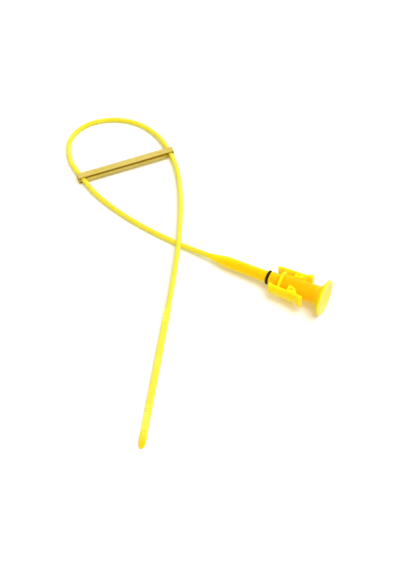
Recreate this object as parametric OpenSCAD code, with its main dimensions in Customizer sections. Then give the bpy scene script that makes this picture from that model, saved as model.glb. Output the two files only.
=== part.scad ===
// Engine oil dipstick, laid down with its long rod curled into a loop.
// One yellow moulding carries the thumb disc, the stem, two squeeze arms, the plug, the rod
// and the flat blade. A rubber ring sits in the plug's groove. A brass tube holds the loop:
// the rod goes through a cross hole near each of its ends.
// Millimetres. +Z is up, the surface that it lies on is z = 0, and the plug points along -X.

/* [Thumb disc] */
// Diameter of the thumb disc
disc_d = 27.2; // [20:0.5:36]
// Thickness of the disc's rounded rim
rim_t = 2.5; // [1.8:0.1:4]
// Depth of the shallow dish in the disc's outer face
dish_depth = 1.2; // [0.4:0.1:1.6]
// Length of the cone between the rim and the stem
flare_len = 3.3; // [3:0.1:9]
// Radius of the fillet where the cone runs into the stem
flare_fillet = 3; // [1:0.5:6]

/* [Stem and collar] */
// Diameter of the stem that the fingers close on
stem_d = 14; // [11:0.1:16]
// Distance from the disc's face to the collar's rear face
stem_len = 33.9; // [30:0.5:40]
// Diameter of the collar that stops against the guide tube's mouth
collar_d = 16.6; // [15:0.1:20]
// Thickness of the collar
collar_t = 2; // [1.2:0.1:4]
// Gap between the collar's side flats and the arms
collar_gap = 0.7; // [0.5:0.1:1.2]

/* [Plug] */
// Diameter of the neck between the collar and the ring
neck_d = 10.2; // [9:0.1:11]
// Length of that neck
neck_len = 8.6; // [6:0.1:12]
// Diameter of the plug's shank, which enters the guide tube
shank_d = 8.7; // [7:0.1:9]
// Length of the shank, from the ring's groove to the nose
shank_len = 32.4; // [20:0.5:45]
// Length of the nose that narrows the shank down to the rod
nose_len = 16.5; // [10:0.5:24]

/* [Seal ring] */
// Outer diameter of the rubber ring
ring_d = 11; // [9.8:0.1:11.4]
// Thickness of the ring's cord
ring_t = 2.2; // [1.6:0.1:2.6]
// Gap between the ring and each wall of its groove
ring_side_gap = 0.15; // [0.05:0.05:0.3]
// Gap between the ring and the floor of its groove
ring_floor_gap = 0.05; // [0.02:0.01:0.15]

/* [Squeeze arms] */
// Distance from the stem's axis to the inner face of an arm at its front
arm_offset = 8.1; // [7.2:0.1:9]
// How much further out an arm's rear end stands
arm_spread = 1; // [0:0.1:1.8]
// Wall thickness of an arm along its middle
arm_t = 3.3; // [2.8:0.1:4.2]
// Height of an arm
arm_h = 12; // [8:0.1:12.4]
// Radius of the arm's bulging outer face
arm_bulge_r = 8.5; // [7.5:0.5:14]
// Distance from the disc's face to the arms' rear ends
arm_rear = 14.6; // [12:0.1:18]
// Length of an arm
arm_len = 27.2; // [22:0.1:32]
// How far the finger lip at the rear end stands out
lip_out = 1.2; // [0.6:0.1:2.4]
// Length of that lip
lip_len = 3.4; // [2:0.1:6]
// How far the hook at the front end reaches in
hook_in = 0.9; // [0.4:0.1:1.2]
// Length of the hook
hook_len = 2.4; // [1.5:0.1:4]

/* [Arm ribs] */
// Distance from the arm's rear end to its rib
rib_rear = 5.1; // [3:0.1:8]
// Length of the rib that carries an arm on the stem
rib_len = 7.6; // [5:0.1:10]
// Height of the rib
rib_h = 12.8; // [9:0.1:13]
// Distance from the axis to the rib's inner corner
rib_inner = 3; // [2.4:0.1:4]
// Length of the pocket in each end of the rib
pocket_len = 3.2; // [2:0.1:4.5]
// Width of that pocket
pocket_w = 2.4; // [1.5:0.1:3]
// Depth of that pocket
pocket_depth = 2; // [0.8:0.1:3.5]

/* [Rod] */
// Diameter of the rod where it leaves the plug
rod_root_d = 3.9; // [3.2:0.1:4.6]
// Diameter of the rod where the blade begins
rod_end_d = 3.7; // [2.6:0.1:4]
// Height of the rod's underside where it leaves the plug
root_lift = 3.6; // [1.5:0.1:5]
// Gap between the two runs of the rod where they cross
cross_gap = 0.4; // [0.3:0.1:2]

/* [Blade] */
// Length of the measuring blade
blade_len = 112; // [90:1:130]
// Width of the blade at its shoulder
blade_w = 4.8; // [3.8:0.1:5.2]
// Width of the blade at the lower mark
blade_low_w = 5; // [3.8:0.1:5.4]
// Thickness of the blade
blade_t = 2; // [1.4:0.1:2.6]
// Length of the shoulder that turns the round rod into the flat blade
shoulder_len = 3.5; // [2:0.5:8]
// Distance from the shoulder to the upper mark
upper_mark = 10; // [8:0.5:20]
// Distance from the shoulder to the lower pair of marks
lower_mark = 82.6; // [60:0.2:90]
// Distance between the two lower marks
mark_pitch = 1.9; // [1.6:0.1:4]
// Depth of a mark's groove
mark_depth = 0.3; // [0.1:0.05:0.5]
// Thickness of the bare stretch below the marks
bare_t = 1.6; // [1.2:0.1:2.2]
// Length of the spoon-shaped tip
tip_len = 14; // [8:0.5:18]
// Width of the tip
tip_w = 5.3; // [4:0.1:5.6]
// Thickness of the tip
tip_t = 2.4; // [1.8:0.1:3]

/* [Loop tube] */
// Outer diameter of the brass tube
tube_d = 8; // [7.2:0.1:9]
// Wall thickness of the brass tube
tube_wall = 0.6; // [0.3:0.1:1]
// Length of the brass tube
tube_len = 80.4; // [74:0.2:88]
// Clearance that lets the blade's widest part through the cross holes
thread_gap = 0.8; // [0.3:0.1:1.4]
// Width of brass left between each cross hole and the tube's end
end_land = 0.3; // [0.3:0.1:3]

/* [Hidden] */

$fn = 96;
yellow = [0.98, 0.86, 0.06];
rubber = [0.1, 0.07, 0.05];
brass = [0.78, 0.62, 0.27];

// Stations along the handle's axis, measured from the disc's outer face towards the plug.
rim_r = rim_t / 2;
flare_end = rim_t + flare_len;
collar_end = stem_len + collar_t;
neck_end = collar_end + neck_len;
groove_len = ring_t + 2 * ring_side_gap;
groove_end = neck_end + groove_len;
shank_end = groove_end + shank_len;
nose_end = shank_end + nose_len;
ring_path_r = (ring_d - ring_t) / 2;
groove_r = ring_path_r - ring_t / 2 - ring_floor_gap;
arm_front = arm_rear + arm_len;

// The handle lies on the rim of its disc, and its nose is held up by the curled rod.
// The tilt follows from the two heights: a cos(t) - b sin(t) = c.
tilt_a = disc_d / 2 - rim_r;
tilt_b = nose_end - rim_r;
tilt_c = root_lift + rod_root_d / 2 - rim_r;
tilt = acos(tilt_c / norm([tilt_a, tilt_b])) - atan2(tilt_b, tilt_a);
face_z = rim_r + tilt_a * cos(tilt) + rim_r * sin(tilt);
face_x = 1.1;
function on_axis(s) = [(face_x - s) * cos(tilt), 0, face_z - s * sin(tilt)];

// The tube's place on the surface, and the rod's way through its two cross holes.
tube_at = [-195.25, 49.89];
tube_heading = 48.8;
left_skew = 13;
right_skew = 2.5;
// The curled rod presses outward, so it runs off the middle of the right hole.
right_press = 0.75;
hole_d = max(tip_w, blade_low_w) + thread_gap;
hole_pitch = tube_len - 2 * end_land - hole_d;
function heading(a) = [cos(a), sin(a)];
left_pass = tube_at - (hole_pitch / 2) * heading(tube_heading);
right_pass = tube_at + (hole_pitch / 2 + right_press) * heading(tube_heading);
pass_reach = tube_d / 2 + 1.5;
left_way = heading(tube_heading + 90 + left_skew);
right_way = heading(tube_heading - 90 + right_skew);
function pass(at, way, side) = concat(at + side * pass_reach * way, tube_d / 2);

// The rod's route on the surface: x, y and the height of the rod's underside.
// The points were chosen by hand. Those at the plug, in the cross holes and where the rod
// passes over itself follow from the sizes above.
lead = 9;
lower_run = [[-126, 0.9, 0.8], [-141, 1.8, 0.5], [-156, 3.3, 0.4], [-171, 5.6, 0.4],
    [-185, 8.6, 0.7], [-198, 12.3, 1.1], [-207.5, 16, 1.5]];
loop_run = [[-236, 32.4, 1.4], [-244, 41, 1], [-249, 50, 0.6], [-250.6, 59, 0.3],
    [-249.2, 68, 0.2], [-246, 75.4, 0.1], [-241, 81.6, 0], [-229.4, 90, 0], [-215, 94.6, 0],
    [-206, 94.8, 0.2], [-197.6, 93.3, 0.6], [-188, 90, 1.1]];
upper_run = [[-159.6, 68.4, 2.2], [-151.7, 58.6, 2.7], [-142.8, 45.3, 3.3], [-133.8, 29.1, 3.9],
    [-126, 13.1, 4.4]];
crossing = [-120.2, 0.5];
after_crossing = [[-112.7, -17.9, 4.7], [-106.7, -33.5, 4.5]];
shoulder_at = [-99.3, -54.5, 3.4];
cross_z = lower_run[0].z + rod_root_d + cross_gap + rod_r(0.85);

// Radius of the rod at a share f of its way from the plug to the blade.
function rod_r(f) = (rod_root_d + (rod_end_d - rod_root_d) * f) / 2;
function lifted(run, f) = [for (p = run) [p.x, p.y, p.z + rod_r(f)]];
route = concat(
    [on_axis(nose_end - 3), on_axis(nose_end + lead)],
    lifted(lower_run, 0.15),
    [pass(left_pass, left_way, -1), pass(left_pass, left_way, 1)],
    lifted(loop_run, 0.45),
    [pass(right_pass, right_way, -1), pass(right_pass, right_way, 1)],
    lifted(upper_run, 0.8),
    [concat(crossing, cross_z)],
    lifted(after_crossing, 0.95),
    lifted([shoulder_at], 1)
);

// The smooth curve through the route: each stretch is a cubic whose end slopes come from the
// neighbouring points, weighted by their distance.
function unit(v) = v / norm(v);
function slope(p, i) =
    let (last = len(p) - 1, a = p[max(i - 1, 0)], b = p[i], c = p[min(i + 1, last)])
    i == 0 ? unit(c - b)
    : i == last ? unit(b - a)
    : let (d1 = norm(b - a), d2 = norm(c - b))
      ((b - a) / d1 * d2 + (c - b) / d2 * d1) / (d1 + d2);
function cubic(a, b, sa, sb, t) =
    let (d = norm(b - a), t2 = t * t, t3 = t2 * t)
    (2 * t3 - 3 * t2 + 1) * a + (t3 - 2 * t2 + t) * d * sa
    + (3 * t2 - 2 * t3) * b + (t3 - t2) * d * sb;
ring_step = 5;
curve = [for (i = [0 : len(route) - 2])
    let (a = route[i], b = route[i + 1], n = max(1, ceil(norm(b - a) / ring_step)))
    for (k = [0 : n - 1]) cubic(a, b, slope(route, i), slope(route, i + 1), k / n)];
function running(p, i = 1, sum = [0]) =
    i >= len(p) ? sum : running(p, i + 1, concat(sum, sum[i - 1] + norm(p[i] - p[i - 1])));
curve_at = running(curve);
curve_len = curve_at[len(curve) - 1];

// The blade runs straight on from the shoulder until its tip touches the surface.
shoulder = route[len(route) - 1];
blade_heading = -70.9;
blade_pitch = asin((shoulder.z - tip_t / 2 - 0.1) / blade_len);
blade_way = concat(cos(blade_pitch) * heading(blade_heading), -sin(blade_pitch));

// Sections along the blade: distance, width, thickness and squareness (1 round, less is boxy).
groove_w = 0.4;
boxy = 0.5;
function mark(at, w) = [
    [at - groove_w, w, blade_t, boxy],
    [at - groove_w / 2, w, blade_t - 2 * mark_depth, boxy],
    [at + groove_w / 2, w, blade_t - 2 * mark_depth, boxy],
    [at + groove_w, w, blade_t, boxy]];
tip_from = blade_len - tip_len;
tip_round = tip_w * 1.1;
tip_steps = 6;
blade_sections = concat(
    [[0, rod_end_d, rod_end_d, 1], [shoulder_len, blade_w, blade_t, boxy]],
    mark(upper_mark, blade_w),
    mark(lower_mark, blade_low_w),
    mark(lower_mark + mark_pitch, blade_low_w),
    [[lower_mark + mark_pitch + 2.5, blade_low_w, bare_t, boxy],
     [tip_from - 1, blade_low_w, bare_t, boxy],
     [tip_from, (blade_low_w + tip_w) / 2, tip_t, 0.6]],
    [for (k = [0 : tip_steps])
        let (a = 86 * k / tip_steps)
        [blade_len - tip_round * (1 - sin(a)), tip_w * cos(a), tip_t * (0.25 + 0.75 * cos(a)), 0.75]]
);

// One ring of the sweep: its centre, its direction, its width, thickness and squareness.
sides = 20;
function power(c, n) = sign(c) * pow(abs(c), n);
function ring_points(at, way, w, t, n) =
    let (across = unit(cross([0, 0, 1], way)), up = cross(way, across))
    [for (k = [0 : sides - 1])
        let (a = 360 * k / sides)
        at + across * w / 2 * power(cos(a), n) + up * t / 2 * power(sin(a), n)];
function curve_way(i) =
    let (last = len(curve) - 1)
    i == 0 ? unit(curve[1] - curve[0])
    : unit(curve[min(i + 1, last)] - curve[i - 1]);
sweep = concat(
    [for (i = [0 : len(curve) - 1])
        let (d = 2 * rod_r(curve_at[i] / curve_len))
        ring_points(curve[i], i == len(curve) - 1 ? blade_way : curve_way(i), d, d, 1)],
    [for (b = blade_sections) ring_points(shoulder + b[0] * blade_way, blade_way, b[1], b[2], b[3])]
);
sweep_points = [for (ring = sweep) each ring];

// The origin is in the middle of the part's outline, on the surface that it lies on.
west = min([for (p = sweep_points) p.x]);
south = min([for (p = sweep_points) p.y]);
north = max([for (p = sweep_points) p.y]);
east = on_axis(rim_r).x + tilt_a * sin(tilt) + rim_r;
middle = [(west + east) / 2, (south + north) / 2, 0];

// Puts a child that is drawn along +Z, from the disc's face to the plug, on the handle's axis.
// Its X is then up and its Y is across.
module on_handle() {
    translate(on_axis(0) - middle) rotate([0, -90 - tilt, 0]) children();
}

// The swept rod and blade.
module rod_and_blade() {
    rings = len(sweep);
    skin = [for (r = [0 : rings - 2]) for (k = [0 : sides - 1])
        let (a = r * sides + k, b = r * sides + (k + 1) % sides)
        each [[a, b + sides, b], [a, a + sides, b + sides]]];
    first_cap = [for (k = [0 : sides - 1]) k];
    last_cap = [for (k = [sides - 1 : -1 : 0]) (rings - 1) * sides + k];
    translate(-middle) polyhedron(sweep_points, concat(skin, [first_cap, last_cap]), convexity = 12);
}

// Half outline of the thumb disc: rounded rim, dished face, cone and fillet into the stem.
module disc_outline() {
    disc_r = disc_d / 2;
    stem_r = stem_d / 2;
    dish_half = disc_r - rim_t;
    dish_r = (pow(dish_half, 2) + pow(dish_depth, 2)) / (2 * dish_depth);
    difference() {
        union() {
            polygon([[0, 0], [disc_r - rim_r, 0], [disc_r - rim_r, rim_t], [stem_r, flare_end], [0, flare_end]]);
            translate([disc_r - rim_r, rim_r]) circle(rim_r);
            flare_corner(disc_r - rim_r, stem_r);
        }
        translate([0, dish_depth - dish_r]) circle(dish_r, $fn = 360);
        translate([-dish_r * 2, -dish_r]) square([dish_r * 2, dish_r * 2]);
    }
}

// Fills the inner corner between the cone and the stem with an arc that is tangent to both.
module flare_corner(outer_r, stem_r) {
    run = outer_r - stem_r;
    slant = atan2(flare_len, run);
    tangent = flare_fillet * tan((90 - slant) / 2);
    centre = [stem_r + flare_fillet, flare_end + tangent];
    difference() {
        polygon([[stem_r, flare_end + tangent], [stem_r, flare_end],
            [stem_r + tangent * cos(slant), flare_end - tangent * sin(slant)], centre]);
        translate(centre) circle(flare_fillet);
    }
}

// The nose narrows in a soft S from the shank to the rod.
module nose_outline() {
    steps = 10;
    end_r = rod_root_d / 2 + 0.06;
    drop = shank_d / 2 - end_r;
    function nose_r(t) = end_r + drop * (0.5 * (1 - t) + 0.25 * (1 + cos(180 * t)));
    polygon(concat([[0, nose_end], [0, shank_end]],
        [for (k = [0 : steps]) [nose_r(k / steps), shank_end + nose_len * k / steps]]));
}

// Stem, neck, groove, shank and nose, turned about the handle's axis.
module spine() {
    rotate_extrude() disc_outline();
    cylinder(d = stem_d, h = stem_len);
    translate([0, 0, stem_len]) collar();
    translate([0, 0, collar_end]) cylinder(d = neck_d, h = neck_len);
    translate([0, 0, neck_end]) cylinder(r = groove_r, h = groove_len);
    translate([0, 0, groove_end]) cylinder(d = shank_d, h = shank_len);
    rotate_extrude() nose_outline();
}

// The collar is round above and below and has a flat beside each arm.
module collar() {
    flat = arm_offset - collar_gap;
    intersection() {
        cylinder(d = collar_d, h = collar_t);
        translate([-collar_d, -flat, -1]) cube([2 * collar_d, 2 * flat, collar_t + 2]);
    }
}

// Half outline of an arm's bulging back, from its rear end: the finger lip, then the wall
// with its rounded front edge.
module arm_outline() {
    lip_r = 0.6;
    front_r = 1.2;
    lip_end_r = arm_bulge_r + lip_out;
    polygon([[0, 0], [lip_end_r - lip_r, 0], [lip_end_r, lip_r], [lip_end_r, lip_len - lip_r],
        [arm_bulge_r, lip_len], [arm_bulge_r, arm_len - front_r], [arm_bulge_r - front_r, arm_len],
        [0, arm_len]]);
    translate([lip_end_r - lip_r, lip_r]) circle(lip_r);
    translate([arm_bulge_r - front_r, arm_len - front_r]) circle(front_r);
}

// Plan of the hook at an arm's front end, outward from the arm's inner face.
module hook_plan() {
    polygon([[0.2, arm_len], [-0.3 * hook_in, arm_len], [-hook_in, arm_len - 0.4 * hook_len],
        [-hook_in, arm_len - hook_len], [0.2, arm_len - hook_len]]);
}

// Plan of the wedge-shaped rib between the stem and the arm.
rib_from = arm_rear + rib_rear;
module rib_plan() {
    outer = arm_offset + arm_spread * (1 - rib_rear / arm_len) + 0.3;
    polygon([[outer, rib_from], [outer - 0.8, rib_from], [stem_d / 2 - 1.4, rib_from + 0.25 * rib_len],
        [rib_inner, rib_from + rib_len], [outer, rib_from + rib_len]]);
}

// Stands a plan of (across, along) upright on the handle, h high and centred on the axis.
module upright(h) {
    rotate([90, 0, 90]) linear_extrude(h, center = true) children();
}

// One arm, on the +Y side. It leans out towards its rear end.
module arm() {
    translate([0, arm_offset + arm_spread, arm_rear]) rotate([atan(arm_spread / arm_len), 0, 0]) {
        intersection() {
            translate([0, arm_t - arm_bulge_r, 0]) rotate_extrude($fn = 180) arm_outline();
            translate([-arm_h / 2, 0, -1]) cube([arm_h, arm_t + lip_out + 1, arm_len + 2]);
        }
        upright(arm_h) hook_plan();
    }
    difference() {
        upright(rib_h) rib_plan();
        for (side = [-1, 1]) translate([side * (rib_h / 2 - pocket_depth / 2), 0, 0]) rib_pocket();
    }
}

// The pocket that keeps the rib's wall even.
module rib_pocket() {
    over = 0.2;
    translate([0, arm_offset - pocket_w / 2 + 0.1, rib_from + rib_len - pocket_len / 2 - 1])
        cube([pocket_depth + over, pocket_w, pocket_len], center = true);
}

module dipstick() {
    color(yellow) union() {
        on_handle() {
            spine();
            arm();
            mirror([0, 1, 0]) arm();
        }
        rod_and_blade();
    }
}

module o_ring() {
    color(rubber) on_handle()
        translate([0, 0, neck_end + groove_len / 2])
            rotate_extrude() translate([ring_path_r, 0]) circle(d = ring_t);
}

module loop_tube() {
    color(brass) translate(concat(tube_at, tube_d / 2) - middle) rotate([0, 0, tube_heading])
        difference() {
            rotate([0, 90, 0]) cylinder(d = tube_d, h = tube_len, center = true);
            rotate([0, 90, 0]) cylinder(d = tube_d - 2 * tube_wall, h = tube_len + 2, center = true);
            for (side = [-1, 1]) translate([side * hole_pitch / 2, 0, 0])
                rotate([90, 0, 0]) cylinder(d = hole_d, h = tube_d + 2, center = true);
        }
}

dipstick();
o_ring();
loop_tube();
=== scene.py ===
# %% [markdown]
# # Engine oil dipstick
# A yellow plastic dipstick lies on a pale table. Its long rod is curled into a loop, and a
# brass tube with a cross hole near each end holds the loop. A black rubber ring sits on the
# plug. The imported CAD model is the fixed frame: every piece here is made over it, in metres,
# with +Z up and the plug pointing along -X.

import math

import bmesh
import bpy
from mathutils import Euler, Matrix, Vector


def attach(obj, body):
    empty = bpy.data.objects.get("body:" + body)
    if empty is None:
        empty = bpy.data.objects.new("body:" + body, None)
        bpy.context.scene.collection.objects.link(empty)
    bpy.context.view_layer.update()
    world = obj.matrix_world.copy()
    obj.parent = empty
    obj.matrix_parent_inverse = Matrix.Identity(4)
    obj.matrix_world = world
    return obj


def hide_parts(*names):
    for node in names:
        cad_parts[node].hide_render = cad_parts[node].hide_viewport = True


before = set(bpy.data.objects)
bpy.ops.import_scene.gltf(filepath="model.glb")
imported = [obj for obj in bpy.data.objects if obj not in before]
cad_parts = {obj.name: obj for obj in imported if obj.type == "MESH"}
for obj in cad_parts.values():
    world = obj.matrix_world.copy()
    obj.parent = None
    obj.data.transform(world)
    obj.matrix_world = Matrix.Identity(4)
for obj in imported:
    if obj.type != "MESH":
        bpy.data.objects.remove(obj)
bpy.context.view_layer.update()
scene = bpy.context.scene
scene.view_settings.view_transform = "Standard"
print("CAD nodes:", sorted(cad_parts))

# %% [markdown]
# ## Millimetres, places and directions
# The sizes below are written in millimetres, as on a drawing of the real part. The part lies
# on the rim of its thumb disc, so its axis leans by a few degrees. A place on the table is
# first written from the point under the disc, and `to_part` moves it into the frame, whose
# origin is in the middle of the part's outline.

# %% Scale and the middle of the outline
MM = 0.001
OUTLINE_MIDDLE = Vector((-125.181, -31.7458, 0))


def to_part(place):
    """A place in millimetres from the point under the disc, as metres in the frame."""
    return (Vector(place) - OUTLINE_MIDDLE) * MM


def heading(degrees):
    """The level direction at an angle from +X."""
    turn = math.radians(degrees)
    return Vector((math.cos(turn), math.sin(turn), 0))


print("the point under the disc is at", to_part((0, 0, 0))[:])

# %% The leaning axis of the handle
DISC_R = 13.6
RIM_R = 1.25
FACE_X = 1.1
AXIS_TILT = math.radians(4.85202)
lean_cos, lean_sin = math.cos(AXIS_TILT), math.sin(AXIS_TILT)
face_height = RIM_R + (DISC_R - RIM_R) * lean_cos + RIM_R * lean_sin
axis_way = Vector((-lean_cos, 0, -lean_sin))
face_at = Vector((FACE_X * lean_cos, 0, face_height))


def on_axis(station):
    """The point on the handle's axis at a distance from the disc's outer face."""
    return face_at + station * axis_way


# Along the handle the drawing's X is up, its Y is across and its Z runs to the plug.
handle_turn = Euler((0, -math.pi / 2 - AXIS_TILT, 0)).to_matrix().to_4x4()
handle_place = Matrix.Translation(to_part(face_at)) @ handle_turn @ Matrix.Scale(MM, 4)
print("the disc's face is centred at", to_part(face_at)[:])

# %% [markdown]
# ## Bench tools
# A few small helpers are used for every piece. One turns a bmesh into an object with soft
# shading and sharp edges only where the angle is large. One spins a half outline about Z into
# a closed solid. One carves a cutter out of a solid with a Boolean modifier, and keeps the
# result as plain mesh so that no modifier is left live on the piece.


# %% Make an object from a bmesh
def make_object(name, shape, sharp_angle=40):
    """An object at the origin that holds the shape, smooth but for its sharp edges."""
    bmesh.ops.recalc_face_normals(shape, faces=shape.faces)
    mesh = bpy.data.meshes.new(name)
    shape.to_mesh(mesh)
    shape.free()
    mesh.shade_smooth()
    mesh.set_sharp_from_angle(angle=math.radians(sharp_angle))
    made = bpy.data.objects.new(name, mesh)
    scene.collection.objects.link(made)
    return made


def triangle_count(made):
    """How many triangles an object's mesh has."""
    made.data.calc_loop_triangles()
    return len(made.data.loop_triangles)


# %% Spin a half outline into a solid
WELD = 0.0001


def spin_outline(outline, steps=128):
    """A closed solid of revolution about Z from (radius, height) points."""
    shape = bmesh.new()
    points = [shape.verts.new((radius, 0, height)) for radius, height in outline]
    edges = [shape.edges.new(pair) for pair in zip(points, points[1:])]
    bmesh.ops.spin(shape, geom=points + edges, axis=(0, 0, 1), cent=(0, 0, 0),
                   angle=2 * math.pi, steps=steps, use_merge=True)
    bmesh.ops.remove_doubles(shape, verts=shape.verts, dist=WELD)
    bmesh.ops.recalc_face_normals(shape, faces=shape.faces)
    return shape


def arc(centre, radius, start, end, steps):
    """Points on an arc, angles in degrees."""
    turns = [math.radians(start + (end - start) * k / steps) for k in range(steps + 1)]
    return [(centre[0] + radius * math.cos(t), centre[1] + radius * math.sin(t)) for t in turns]


# %% Work with a solid as a plain mesh
def applied(made):
    """The mesh with its modifiers applied, as a new bmesh. The object is removed."""
    bpy.context.view_layer.update()
    shape = bmesh.new()
    shape.from_object(made, bpy.context.evaluated_depsgraph_get())
    bpy.data.objects.remove(made)
    return shape


def carve(solid, cutter):
    """The solid with the cutter taken out of it, both given as bmeshes."""
    body = make_object("carve_body", solid)
    knife = make_object("carve_knife", cutter)
    cut = body.modifiers.new("cut", "BOOLEAN")
    cut.operation = "DIFFERENCE"
    cut.solver = "EXACT"
    cut.object = knife
    carved = applied(body)
    bpy.data.objects.remove(knife)
    return carved


def join(shapes):
    """One bmesh that holds all the shapes. The single ones are freed."""
    together = bmesh.new()
    for shape in shapes:
        mesh = bpy.data.meshes.new("joined")
        shape.to_mesh(mesh)
        shape.free()
        together.from_mesh(mesh)
        bpy.data.meshes.remove(mesh)
    return together


def slice_off(shape, at, way):
    """Cuts away what lies beyond a plane, and closes the cut."""
    cut = bmesh.ops.bisect_plane(shape, geom=shape.verts[:] + shape.edges[:] + shape.faces[:],
                                 plane_co=at, plane_no=way, clear_outer=True)
    open_edges = [e for e in cut["geom_cut"] if isinstance(e, bmesh.types.BMEdge)]
    bmesh.ops.edgenet_fill(shape, edges=open_edges)
    bmesh.ops.recalc_face_normals(shape, faces=shape.faces)


def box(centre, size):
    """A box by its centre and its three sizes."""
    shape = bmesh.new()
    bmesh.ops.create_cube(shape, size=1)
    bmesh.ops.scale(shape, vec=Vector(size), verts=shape.verts)
    bmesh.ops.translate(shape, vec=Vector(centre), verts=shape.verts)
    return shape


# %% [markdown]
# ## The handle's spine
# On the real part the thumb disc, the stem, the collar and the plug are round, because the
# tool that moulds them is turned on a lathe. So the spine is one half outline, spun about the
# handle's axis. The disc has a rounded rim and a shallow dish for the thumb, and a cone with a
# soft fillet runs into the stem. The nose narrows in a soft S down to the rod. A stack of
# cylinders and cones would also do, but one outline gives the rims and fillets as well.

# %% Outline of the thumb disc
RIM_T = 2 * RIM_R
DISH_DEPTH = 1.2
STEM_R = 7.0
FLARE_LEN = 3.3
FLARE_FILLET = 3
DISH_STEPS, RIM_STEPS, FILLET_STEPS = 24, 20, 10

dish_half = DISC_R - RIM_T
dish_r = (dish_half ** 2 + DISH_DEPTH ** 2) / (2 * DISH_DEPTH)
dish_turn = math.degrees(math.asin(dish_half / dish_r))
dish = arc((0, DISH_DEPTH - dish_r), dish_r, 90, 90 - dish_turn, DISH_STEPS)
rim = arc((DISC_R - RIM_R, RIM_R), RIM_R, -90, 90, RIM_STEPS)

flare_run = DISC_R - RIM_R - STEM_R
flare_slant = math.degrees(math.atan2(FLARE_LEN, flare_run))
fillet_tangent = FLARE_FILLET * math.tan(math.radians(90 - flare_slant) / 2)
fillet_centre = (STEM_R + FLARE_FILLET, RIM_T + FLARE_LEN + fillet_tangent)
fillet = arc(fillet_centre, FLARE_FILLET, 270 - flare_slant, 180, FILLET_STEPS)
disc_outline = dish + rim + fillet
print("the dish is", DISH_DEPTH, "mm deep on a radius of", round(dish_r, 1), "mm")

# %% Outline of the neck, the groove, the shank and the nose
STEM_END = 35.9
NECK_R = 5.1
NECK_END = 44.5
GROOVE_R = 3.25
GROOVE_END = 47.0
SHANK_R = 4.35
SHANK_END = 79.4
NOSE_END = 95.9
ROD_ROOT_R = 1.95
NOSE_END_R = ROD_ROOT_R - 0.02
NOSE_STEPS = 30


def nose_radius(share):
    """The nose's radius, from the shank at 0 to the rod at 1."""
    drop = SHANK_R - NOSE_END_R
    return NOSE_END_R + drop * (0.5 * (1 - share) + 0.25 * (1 + math.cos(math.pi * share)))


nose_span = NOSE_END - SHANK_END
nose = [(nose_radius(k / NOSE_STEPS), SHANK_END + nose_span * k / NOSE_STEPS)
        for k in range(NOSE_STEPS + 1)]
plug_outline = [(STEM_R, STEM_END), (NECK_R, STEM_END), (NECK_R, NECK_END), (GROOVE_R, NECK_END),
                (GROOVE_R, GROOVE_END), (SHANK_R, GROOVE_END)] + nose + [(0, NOSE_END)]
spine = spin_outline([(0, DISH_DEPTH)] + disc_outline + plug_outline)
print("spine faces:", len(spine.faces))

# %% [markdown]
# ## The collar
# The collar stops against the mouth of the guide tube. It is a short round plate, but beside
# each arm it has a flat, so that the arm can be squeezed in. It could be drawn as a plan of
# arcs and lines. Here a round plate is cut with two planes and its open sides are filled
# again, because that keeps the rest of its rim truly round.

# %% Round plate with two flats
COLLAR_R = 8.3
COLLAR_FROM = 33.9
COLLAR_T = 2.0
ARM_OFFSET = 8.1
COLLAR_GAP = 0.7

collar = bmesh.new()
bmesh.ops.create_cone(collar, cap_ends=True, segments=128, radius1=COLLAR_R, radius2=COLLAR_R,
                      depth=COLLAR_T)
bmesh.ops.translate(collar, vec=(0, 0, COLLAR_FROM + COLLAR_T / 2), verts=collar.verts)
for side in (-1, 1):
    slice_off(collar, (0, side * (ARM_OFFSET - COLLAR_GAP), 0), (0, side, 0))
print("collar faces:", len(collar.faces))

# %% [markdown]
# ## The squeeze arms
# Each arm is a wall beside the stem that the fingers press. Its outer face is round, and its
# rear end stands out as a short lip that keeps the finger from slipping. So the arm is a slice
# of a turned bar: the bar's half outline has the lip at the rear and a rounded front edge. The
# bar is sliced flat on its inner side, above and below. The arm leans out towards its rear.

# %% Sizes of an arm
ARM_REAR = 14.6
ARM_LEN = 27.2
ARM_T = 3.3
ARM_H = 12.0
ARM_SPREAD = 1.0
ARM_BULGE_R = 8.5
LIP_OUT = 1.2
LIP_LEN = 3.4
LIP_EDGE_R = 0.6
FRONT_EDGE_R = 1.2
LIP_STEPS, FRONT_STEPS = 8, 10
arm_lean = math.atan(ARM_SPREAD / ARM_LEN)
arm_place = (Matrix.Translation((0, ARM_OFFSET + ARM_SPREAD, ARM_REAR))
             @ Matrix.Rotation(arm_lean, 4, "X"))
print("an arm leans out by", round(math.degrees(arm_lean), 1), "degrees")


# %% Wall of an arm with its lip
def arm_wall():
    """A slice of a turned bar, with its inner face on the plane y = 0."""
    lip_r = ARM_BULGE_R + LIP_OUT
    lip = arc((lip_r - LIP_EDGE_R, LIP_EDGE_R), LIP_EDGE_R, -90, 0, LIP_STEPS)
    step = [(lip_r, LIP_LEN - LIP_EDGE_R), (ARM_BULGE_R, LIP_LEN)]
    front_centre = (ARM_BULGE_R - FRONT_EDGE_R, ARM_LEN - FRONT_EDGE_R)
    front = arc(front_centre, FRONT_EDGE_R, 0, 90, FRONT_STEPS)
    wall = spin_outline([(0, 0)] + lip + step + front + [(0, ARM_LEN)])
    bmesh.ops.translate(wall, vec=(0, ARM_T - ARM_BULGE_R, 0), verts=wall.verts)
    slice_off(wall, (0, 0, 0), (0, -1, 0))
    for side in (-1, 1):
        slice_off(wall, (side * ARM_H / 2, 0, 0), (side, 0, 0))
    return wall


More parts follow.
